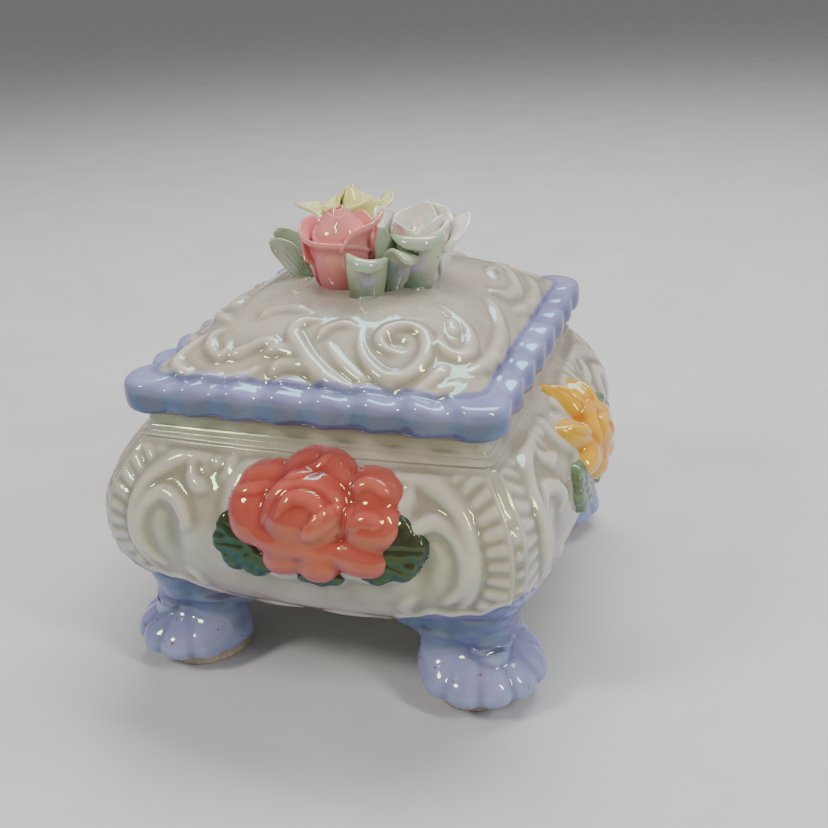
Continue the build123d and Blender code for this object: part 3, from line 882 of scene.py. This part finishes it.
# The lid's inner wall, the lip under it and the seat beside the lip: half-width, corner radius and height.
INNER_STEPS = [
    (HOLLOW_HALF, 4.0, RIM_TOP - 1.0), (HOLLOW_HALF, 4.0, RIM_TOP - 4), (HOLLOW_HALF, 4.0, RIM_BOTTOM - 2.9),
    (HOLLOW_HALF + 0.4, 4.0, LIP_BOTTOM), (LIP_HALF - 0.4, 4.4, LIP_BOTTOM),
    (LIP_HALF, 4.6, LIP_BOTTOM + 0.4), (LIP_HALF, 4.6, RIM_BOTTOM - 0.2), (LIP_HALF + 0.3, 4.6, RIM_BOTTOM),
]


def lid_rows():
    """The lid's loops, as half-width, corner radius, height, how much of the scallop they carry, and kind."""
    rows = []
    for share in np.linspace(0.04, 1, 14):
        rows.append((HOLLOW_HALF * share, 8.0 * share, None, 0.0, "ceiling"))
    rows += [(*step, 0.0, "inside") for step in INNER_STEPS]
    for inset, up, wave in RIM_STEPS:
        rows.append((LID_HALF - inset, 5.8 - 0.25 * inset, RIM_BOTTOM + up, wave, "rim"))
    for share in np.linspace(1.0, 0.015, 120)[1:] ** 0.9:
        wave = 0.8 * float(1 - ease((1 - share) * DOME_X / 3.4))
        rows.append((DOME_X * share, 4.8 * share + 6 * share * (1 - share), None, wave, "dome"))
    return rows


def build_lid():
    """The lid as one closed skin: hollow underside, lip, scalloped bullnose rim and scrolled dome."""
    columns = lid_columns()
    count = len(columns[0])
    points, rise, lilac, painted_rim_shade = [], [], [], []
    for half, radius, z, wave, kind in lid_rows():
        flat, outwards, place = lid_loop(half, min(radius, half * 0.9), columns)
        lobes = scallops(columns, place)
        flat = flat + outwards * (wave * SCALLOP * (lobes - 1))[:, None]
        ripple = RIPPLE * wave * (lobes - 0.5)
        accent, rim_face_shade = 0.0, 0.0
        if kind == "rim":
            height = z + ripple * ease((z - RIM_BOTTOM - 3) / 3)
            accent = float(z > RIM_BOTTOM + 0.3)
            # painted shade: the rim's vertical face is painted darker low down and lighter at its top edge
            rim_face_shade = 0.7 * (1 - ease((z - RIM_BOTTOM - 3.4) / 2.4)) - 0.3
        elif kind == "inside":
            height = np.full(count, z)
        elif kind == "ceiling":
            height = np.maximum(RIM_TOP + dome_height(*flat.T) - CEILING_DROP, RIM_TOP - 1.0)
        else:
            height = RIM_TOP + dome_height(*flat.T) + ripple
            accent = np.clip(0.70 - (DOME_X - half - 0.9 * lobes) / 2.0, 0, 1)
        points.append(np.column_stack([flat, height]))
        rise.append(dome_relief(*flat.T) if kind == "dome" else np.zeros(count))
        lilac.append(accent + np.zeros(count))
        painted_rim_shade.append(rim_face_shade + np.zeros(count))
    points, rise = np.array(points), softened(np.array(rise), 2)
    points = points + grid_normals(points) * rise[..., None]
    # painted shade: the dome's creases get the darker crease colour, partly as deeper glaze, and the rim its
    # painted face shade
    fields = {"accent": np.array(lilac), "pool_and_shade": pooled_and_shaded(rise) + np.array(painted_rim_shade)}
    tube("lid_shell_glazed", points, "cream_glaze", "lid", ["lid_shell"], fields)


# ---- hand-rolled roses on the lid ----
def lid_surface(x, y):
    return RIM_TOP + float(dome_height(np.array(x), np.array(y)))


def sheet_parts(mid, thick, pool_and_shade, accent):
    """A thin curved petal or leaf: a slab round a middle surface, thinner at its free edges."""
    n = grid_normals(mid, closed=False)
    half = thick[..., None] / 2
    keep = np.ones((mid.shape[0] - 1, mid.shape[1] - 1), bool)
    points, faces, used = slab_parts(mid + n * half, mid - n * half, keep)
    return points, faces, np.tile(pool_and_shade[used], 2), np.tile(accent[used], 2)


def petal(
    foot, rim, height, middle, sweep, curl, tip=0.12, aim=0.0, deep=0.7, blush=0.0, tint=0.5, wave=0.25,
    drop=0.3, slant=0.0, seed=0,
):
    """One petal of a rose, round the rose's axis. foot and rim are its radii at the bottom and top, middle is
    the way it faces and sweep how far round it goes, in degrees. curl rolls its top edge outwards, tip draws
    it up to a point at aim (-1 and 1 are its sides), drop lowers both its ends, slant tips it and wave
    ripples it. deep is how much darker the foot is, partly deeper glaze and partly painted shade, tint how
    much second glaze the edges take, and blush how much the inside takes."""
    rng = np.random.default_rng(seed)
    crowded = np.sin(np.linspace(-1.45, 1.45, 35)) / math.sin(1.45)
    v, u = np.meshgrid(1 - (1 - np.linspace(0, 1, 26)) ** 1.4, crowded, indexing="ij")
    outline = 1 - drop * np.abs(u) ** 3 + slant * u + tip * np.clip(1 - np.abs(u - aim) / 1.1, 0, 1) ** 1.6
    outline = outline * (1 + 0.035 * np.sin(4.2 * u + rng.uniform(0, 6)))
    narrow = 0.70 + 0.30 * ease(v * 1.6)
    a = np.radians(middle) + u * np.radians(sweep / 2) * narrow
    belly = 0.21 * (rim + foot) / 2 * np.sin(math.pi * v**0.8)
    roll = ease((v - 0.66) / 0.34)
    flare = 1 + 0.5 * np.clip(1 - np.abs(u - aim) / 0.6, 0, 1)
    r = foot + (rim - foot) * v**1.15 + belly + curl * flare * roll**1.5
    r = r + wave * roll * np.sin(4 * u + rng.uniform(0, 6))
    z = height * outline * v - 0.40 * max(curl, 0) * flare * roll**2
    mid = np.stack([r * np.cos(a), r * np.sin(a), z], -1)
    free = np.maximum(np.clip((v - 0.93) / 0.07, 0, 1), np.clip((np.abs(u) - 0.95) / 0.05, 0, 1))
    thick = (1.15 - 0.35 * v) * np.sqrt(1 - 0.80 * free**2)
    # painted shade: each petal is darker towards its foot, partly as deeper glaze
    points, faces, pool_and_shade, _ = sheet_parts(mid, thick, deep * (1 - 0.8 * v), 0 * v)
    edge = np.maximum(v, np.abs(u) ** 2 * 0.92)
    outside = tint * np.clip((edge - 0.86) * 5, 0, 1)
    inside = outside + blush * np.exp(-(((v - 0.72) / 0.26) ** 2) - ((u + 0.1) / 0.5) ** 2)
    return points, faces, pool_and_shade, np.concatenate([outside.ravel(), inside.ravel()])


def bud(radius, height, turns=1.4, seed=0):
    """The rolled middle of a rose: one sheet wound up on itself and closing in towards the top."""
    v, u = np.meshgrid(1 - (1 - np.linspace(0, 1, 34)) ** 1.3, np.linspace(0, 1, 120), indexing="ij")
    a = 2 * math.pi * turns * u + seed
    closing = 1 - 0.62 * ease((v - 0.80) / 0.20) ** 1.5
    r = radius * (0.24 + 0.76 * u) * (0.74 + 0.40 * np.sin(math.pi * np.clip(v * 1.1, 0, 1) * 0.8)) * closing
    z = height * v * (0.95 + 0.05 * np.sin(math.pi * u * 0.8) + 0.015 * np.sin(2 * a))
    mid = np.stack([r * np.cos(a), r * np.sin(a), z], -1)
    free = np.clip((v - 0.93) / 0.07, 0, 1)
    thick = (0.9 - 0.25 * v) * np.sqrt(1 - 0.75 * free**2)
    # painted shade: the bud is darker towards its foot, partly as deeper glaze
    return sheet_parts(mid, thick, 0.5 - 0.4 * v, np.clip((v - 0.85) * 2.4, 0, 0.5))


def join(parts):
    """Several closed shapes as one list of points and faces."""
    points, faces, pool_and_shade, accent, start = [], [], [], [], 0
    for p, f, g, a in parts:
        points.append(p)
        faces += [[i + start for i in face] for face in f]
        pool_and_shade.append(g)
        accent.append(a)
        start += len(p)
    return np.vstack(points), faces, np.concatenate(pool_and_shade), np.concatenate(accent)


def tilt_to(points, x, y, base, lean, heading):
    """Leans a shape from upright towards a heading, both in degrees, and stands it at x, y, base."""
    turn = Matrix.Rotation(math.radians(heading), 3, "Z")
    tip = turn @ Matrix.Rotation(math.radians(lean), 3, "Y") @ turn.transposed()
    return points @ np.array(tip).T + np.array([x, y, base])


def add_flower_part(name, parts, place, lean, slot):
    points, faces, pool_and_shade, accent = join(parts)
    points = tilt_to(points, *place, *lean)
    add_mesh(f"{name}_rolled", points, faces, slot, "lid", [name], {"pool_and_shade": pool_and_shade, "accent": accent})


def glaze_pool(radius, seed):
    """A low collar of slip and glaze that fixes a flower to the lid."""
    rng = np.random.default_rng(seed)
    a = np.linspace(0, 2 * math.pi, 48, endpoint=False)
    wobble = 1 + 0.10 * np.sin(3 * a + rng.uniform(0, 6)) + 0.06 * np.sin(5 * a + rng.uniform(0, 6))
    v = np.linspace(0, 1, 9)[:, None]
    reach = radius * wobble * (1.25 - 0.75 * v**0.6)
    mid = np.stack([reach * np.cos(a), reach * np.sin(a), -0.5 + 1.5 * v + 0 * a], -1)
    faces = tube_faces(*mid.shape[:2])
    points = np.vstack([mid.reshape(-1, 3), mid[0].mean(0), mid[-1].mean(0)])
    return points, faces, np.full(len(points), 0.3), np.zeros(len(points))


# Each rose's slot, lean, bud and tint, and its petals: the arguments of petal, by place and then by name.
ROSES = {
    "pink_rose": dict(
        slot="pink_glaze", lean=(3, 240), bud=(3.9, 16.0, 1.6), tint=0.45,
        inner=[
            (3.9, 5.0, 15.0, 250, 236, -2.2, dict(tip=0.04, aim=-0.1, drop=0.36, slant=0.05, deep=0.4)),
            (4.0, 5.3, 14.0, 345, 190, -1.4, dict(tip=0.04, aim=-0.3, drop=0.30, slant=-0.06, deep=0.4)),
            (3.9, 5.0, 13.6, 100, 190, -1.6, dict(tip=0.04, drop=0.30, deep=0.5)),
        ],
        outer=[
            (4.0, 6.2, 12.0, 250, 198, 1.2, dict(tip=0.07, aim=-0.6, drop=0.10, slant=-0.20, deep=0.7)),
            (4.2, 6.4, 14.2, 350, 120, 1.5, dict(tip=0.12, aim=0.3, drop=0.30, deep=0.5)),
            (4.0, 6.6, 11.4, 166, 132, 1.3, dict(tip=0.10, aim=0.2, drop=0.3, deep=0.6)),
            (4.0, 6.6, 12.4, 74, 120, 1.2, dict(tip=0.10, deep=0.6)),
        ],
    ),
    "yellow_rose": dict(
        slot="pale_yellow_glaze", lean=(0, 250), bud=(2.9, 16.6, 1.5), tint=0.5,
        inner=[
            (3.2, 3.4, 11.4, 80, 200, -0.7, dict(tip=0.04, deep=0.2)),
            (3.2, 3.4, 11.8, 205, 200, -0.7, dict(tip=0.04, deep=0.2)),
            (3.2, 3.5, 11.2, 325, 190, -0.7, dict(tip=0.04, deep=0.2)),
        ],
        outer=[
            (4.0, 5.4, 14.6, 286, 176, 1.3, dict(tip=0.02, aim=-0.4, drop=0.08, slant=0.03, deep=1.5)),
            (4.0, 6.8, 14.2, 200, 120, 2.8, dict(tip=0.10, aim=0.1, drop=0.24, deep=0.5)),
            (4.0, 6.0, 14.6, 16, 116, 2.2, dict(tip=0.08, aim=0.1, drop=0.26, deep=0.4)),
            (4.0, 6.0, 13.8, 106, 136, 1.8, dict(tip=0.05, deep=0.9)),
        ],
    ),
    "white_rose": dict(
        slot="white_glaze", lean=(2, 20), bud=(2.4, 11.0, 1.2), tint=0.04,
        inner=[
            (3.4, 4.6, 13.4, 118, 156, 0.5, dict(tip=0.10, aim=-0.5, deep=0.4)),
            (3.3, 4.4, 11.6, 228, 156, 0.4, dict(tip=0.08, aim=0.3, deep=0.4)),
            (3.4, 4.6, 12.6, 345, 150, 0.6, dict(tip=0.10, aim=0.5, deep=0.4)),
        ],
        outer=[
            (
                4.6, 6.6, 9.8, 244, 146, 1.2,
                dict(tip=0.14, aim=-0.8, drop=0.2, slant=-0.08, deep=0.4, blush=0.9),
            ),
            (4.6, 6.0, 11.2, 322, 112, 0.8, dict(tip=0.16, aim=0.7, slant=0.08, deep=0.4)),
            (4.6, 7.6, 11.6, 10, 92, 2.4, dict(tip=0.26, aim=0.3, deep=0.4)),
            (4.6, 6.4, 13.0, 84, 126, 0.9, dict(tip=0.12, aim=-0.5, deep=0.4)),
            (4.6, 6.6, 13.2, 158, 124, 0.9, dict(tip=0.12, aim=0.4, deep=0.4, blush=0.25)),
        ],
    ),
}


def build_roses():
    """Each rose as its bud, its inner petals and its outer petals."""
    for number, (name, spec) in enumerate(ROSES.items()):
        low, high = box_mm(f"{name}_heart")
        x, y = (low[:2] + high[:2]) / 2
        place = (x, y, lid_surface(x, y) - 0.6)
        parts = {"heart": [bud(*spec["bud"], seed=number), glaze_pool(5.2, number)]}
        for ring, wave, first_seed in (("inner", 0.25, 0), ("outer", 0.65, 9)):
            parts[f"{ring}_petals"] = [
                petal(*shape, tint=spec["tint"], wave=wave, seed=first_seed + k, **edge)
                for k, (*shape, edge) in enumerate(spec[ring])
            ]
        for part, shapes in parts.items():
            add_flower_part(f"{name}_{part}", shapes, place, spec["lean"], spec["slot"])


def leaf_blade(length, width, foot, fold, start, blunt, cup, sway, ridges, seed=0):
    """A standing leaf, seen from its outer side along +X. foot is the share of its width at its foot, fold
    how far its end rolls over outwards from the share start of its length, and blunt the share before its
    tip rounds off. cup bows it across, sway tips it sideways and ridges is how tall its veins are."""
    rng = np.random.default_rng(seed)
    v, u = np.meshgrid(1 - (1 - np.linspace(0, 1, 34)) ** 1.2, np.linspace(-1, 1, 27), indexing="ij")
    rounding = np.sqrt(np.clip(1 - np.clip((v - blunt) / (1 - blunt), 0, 0.995) ** 2, 0, 1))
    half = width / 2 * (foot + (1 - foot) * ease(v / 0.6)) * rounding
    lean = 0.10 + math.radians(fold) * ease((v - start) / (1 - start))
    step = length * np.diff(v, axis=0, prepend=0)
    x = np.cumsum(np.sin(lean) * step, axis=0)
    z = np.cumsum(np.cos(lean) * step, axis=0)
    sag = cup * (u * half) ** 2 / width
    veins = ridges * np.cos(7 * math.pi * u * (1 - 0.3 * v)) * (1 - ease((v - start) / 0.3))
    veins = veins + ridges * np.exp(-((u / 0.14) ** 2)) * (1 - v)
    veins = veins + 0.35 * np.sin(4 * v + rng.uniform(0, 6)) * u
    x = x + veins * np.cos(lean) - sag
    z = z - veins * np.sin(lean)
    mid = np.stack([x, -u * half, z], -1)
    free = np.maximum(np.clip((v - 0.93) / 0.07, 0, 1), np.clip((np.abs(u) - 0.88) / 0.12, 0, 1))
    thick = (1.25 - 0.35 * v) * np.sqrt(1 - 0.75 * free**2)
    # painted sheen: an iridescent patch painted in the middle of each blade, in the accent colours
    painted_iridescence = 0.9 * np.exp(-(((v - 0.40) / 0.16) ** 2) - ((u - rng.uniform(-0.3, 0.3)) / 0.4) ** 2)
    # painted shade: each blade is darker towards its foot and varies with its veins, partly as deeper glaze
    points, faces, pool_and_shade, accent = sheet_parts(mid, thick, 0.6 + 0.9 * veins - 0.65 * v, 0.8 * painted_iridescence)
    turn = np.array(Matrix.Rotation(math.radians(sway), 3, "X"))
    return points @ turn.T, faces, pool_and_shade, accent


# Blades of each lid leaf: offset from its middle (x, y), way it faces, backward lean, and its own shape.
LID_LEAVES = {
    "leaf_left_upper": [((5.2, 1.6), 262, -30, (13.8, 8.0, 0.4, 34, 0.45, 0.12, 0.4, 56, 0.10))],
    "leaf_left_lower": [((4.0, 0.6), 252, -10, (12.0, 7.4, 0.4, 25, 0.5, 0.12, 0.5, 50, 0.08))],
    "leaf_front": [((1.0, -0.4), 286, 2, (11.4, 8.0, 0.78, 172, 0.60, 0.80, 1.7, -4, 0.0))],
    "leaf_front_right": [
        ((-0.6, 2.0), 290, 0, (13.4, 4.4, 0.5, 10, 0.5, 0.20, 0.8, 2, 0.04)),
        ((0.6, 0.6), 300, 4, (12.4, 7.4, 0.4, 120, 0.48, 0.42, 0.9, -18, 0.0)),
    ],
    "leaf_right": [((-0.8, 1.6), 291, 2, (14.6, 10.4, 0.55, 166, 0.66, 0.82, 1.3, -3, 0.0))],
    "leaf_back_right": [((0, 0), 60, 28, (11.6, 7.6, 0.5, 40, 0.5, 0.2, 0.5, 0, 0.08))],
    "leaf_back_left": [((0, 0), 122, 28, (11.6, 7.6, 0.5, 40, 0.5, 0.2, 0.5, 0, 0.08))],
}


def build_lid_leaves():
    """Each leaf node as its blades and the collar of glaze that they stand in."""
    for number, (name, blades) in enumerate(LID_LEAVES.items()):
        low, high = box_mm(name)
        x, y = (low[:2] + high[:2]) / 2
        shapes = []
        for (dx, dy), heading, lean, shape in blades:
            points, faces, pool_and_shade, accent = leaf_blade(*shape, seed=number)
            turn = np.array(Matrix.Rotation(math.radians(heading), 3, "Z"))
            points = tilt_to(points @ turn.T, dx, dy, 0, lean, heading)
            shapes.append((points, faces, pool_and_shade, accent))
        foot, *rest = glaze_pool(2.3, 20 + number)
        shapes.append((foot + np.array([*blades[0][0], 0]), *rest))
        place = (x, y, lid_surface(x, y) - 0.5)
        add_flower_part(name, shapes, place, (0, 0), "pale_green_glaze")


# ---- build ----
build_body()
build_face_roses()
for side_name, side_x in (("left", -1), ("right", 1)):
    for end_name, side_y in (("front", -1), ("back", 1)):
        build_leg(f"{end_name}_{side_name}", side_x, side_y)
        build_pad(f"{end_name}_{side_name}")
build_lid()
build_roses()
build_lid_leaves()


# ---- floor, light and camera, in metres ----
LIGHT_AIM = (0, 0, 0.04)
CAMERA_PLACE = (0.07581, -0.19687, 0.13492)
CAMERA_TURN = (18.954, 24.009, -3.100)  # azimuth, elevation and roll, in degrees
CAMERA_LENS = 45.57


def add_floor():
    """Plain pale matt floor with a faint mottle."""
    material, tree, shader, where = new_material("floor")
    colour = mix_colour(tree, noise(tree, where, 30), (0.60, 0.60, 0.60), (0.64, 0.64, 0.64))
    tree.links.new(colour, shader.inputs["Base Color"])
    shader.inputs["Roughness"].default_value = 0.7
    bpy.ops.mesh.primitive_plane_add(size=60)
    floor = bpy.context.object
    floor.name = "floor"
    floor.data.materials.append(material)


def add_light(name, place, size, power, colour=(1, 1, 1)):
    """A rectangular soft light pointing at the middle of the box."""
    data = bpy.data.lights.new(name, "AREA")
    data.shape = "RECTANGLE"
    data.size, data.size_y = size
    data.energy, data.color = power, colour
    lamp = bpy.data.objects.new(name, data)
    bpy.context.scene.collection.objects.link(lamp)
    lamp.location = place
    lamp.rotation_mode = "QUATERNION"
    lamp.rotation_quaternion = (Vector(place) - Vector(LIGHT_AIM)).to_track_quat("Z", "Y")


def add_camera():
    """Stands at the box's front right, looking down at it, slightly rolled."""
    azimuth, elevation, roll = (math.radians(a) for a in CAMERA_TURN)
    flat = math.cos(elevation)
    back = np.array([math.sin(azimuth) * flat, -math.cos(azimuth) * flat, math.sin(elevation)])
    right = np.cross(-back, [0, 0, 1])
    right /= np.linalg.norm(right)
    up = np.cross(right, -back)
    turned_right = math.cos(roll) * right + math.sin(roll) * up
    turned_up = -math.sin(roll) * right + math.cos(roll) * up
    data = bpy.data.cameras.new("camera")
    data.sensor_width, data.lens = 36.0, CAMERA_LENS
    data.clip_start, data.clip_end = 0.01, 100
    camera = bpy.data.objects.new("camera", data)
    bpy.context.scene.collection.objects.link(camera)
    rows = np.column_stack([turned_right, turned_up, back, CAMERA_PLACE])
    camera.matrix_world = Matrix([*rows.tolist(), [0, 0, 0, 1]])
    bpy.context.scene.camera = camera


def add_world():
    world = bpy.data.worlds.new("studio")
    world.use_nodes = True
    colour, strength = world.node_tree.nodes["Background"].inputs[:2]
    colour.default_value, strength.default_value = (0.84, 0.83, 0.82, 1), 0.30
    bpy.context.scene.world = world


add_floor()
add_light("overhead", (0.05, 0.30, 0.70), (0.7, 0.25), 6.0)
add_light("key", (-0.40, -0.40, 0.55), (0.14, 0.14), 2.6, colour=(1.0, 0.96, 0.91))
add_light("window", (0.50, -0.20, 0.45), (0.06, 0.26), 2.0)
add_camera()
add_world()
